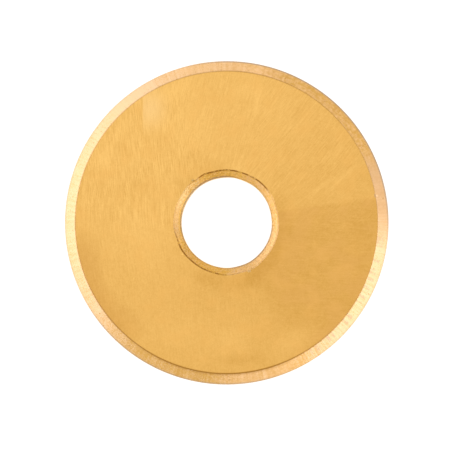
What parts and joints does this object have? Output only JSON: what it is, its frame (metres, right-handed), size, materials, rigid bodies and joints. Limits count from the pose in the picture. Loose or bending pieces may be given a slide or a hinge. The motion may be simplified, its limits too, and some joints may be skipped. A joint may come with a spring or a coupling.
{
  "type": "tile cutter wheel",
  "caption": "Flat scoring wheel with a ground V edge and a chamfered bore, rolled under pressure to score ceramic tiles.",
  "frame": {"origin": "centre of the bore, in the plane of the cutting edge, halfway through the wheel's thickness", "axes": "+Z along the axle, out of one side face; the wheel is the same all round, so X and Y lie anywhere in its plane. It lies flat on its lower side face"},
  "size_m": [0.022, 0.022, 0.002],
  "materials": {
    "coated_hard_metal": "satin"
  },
  "bodies": {
    "root": {"cutting_wheel": "coated_hard_metal"}
  },
  "joints": []
}
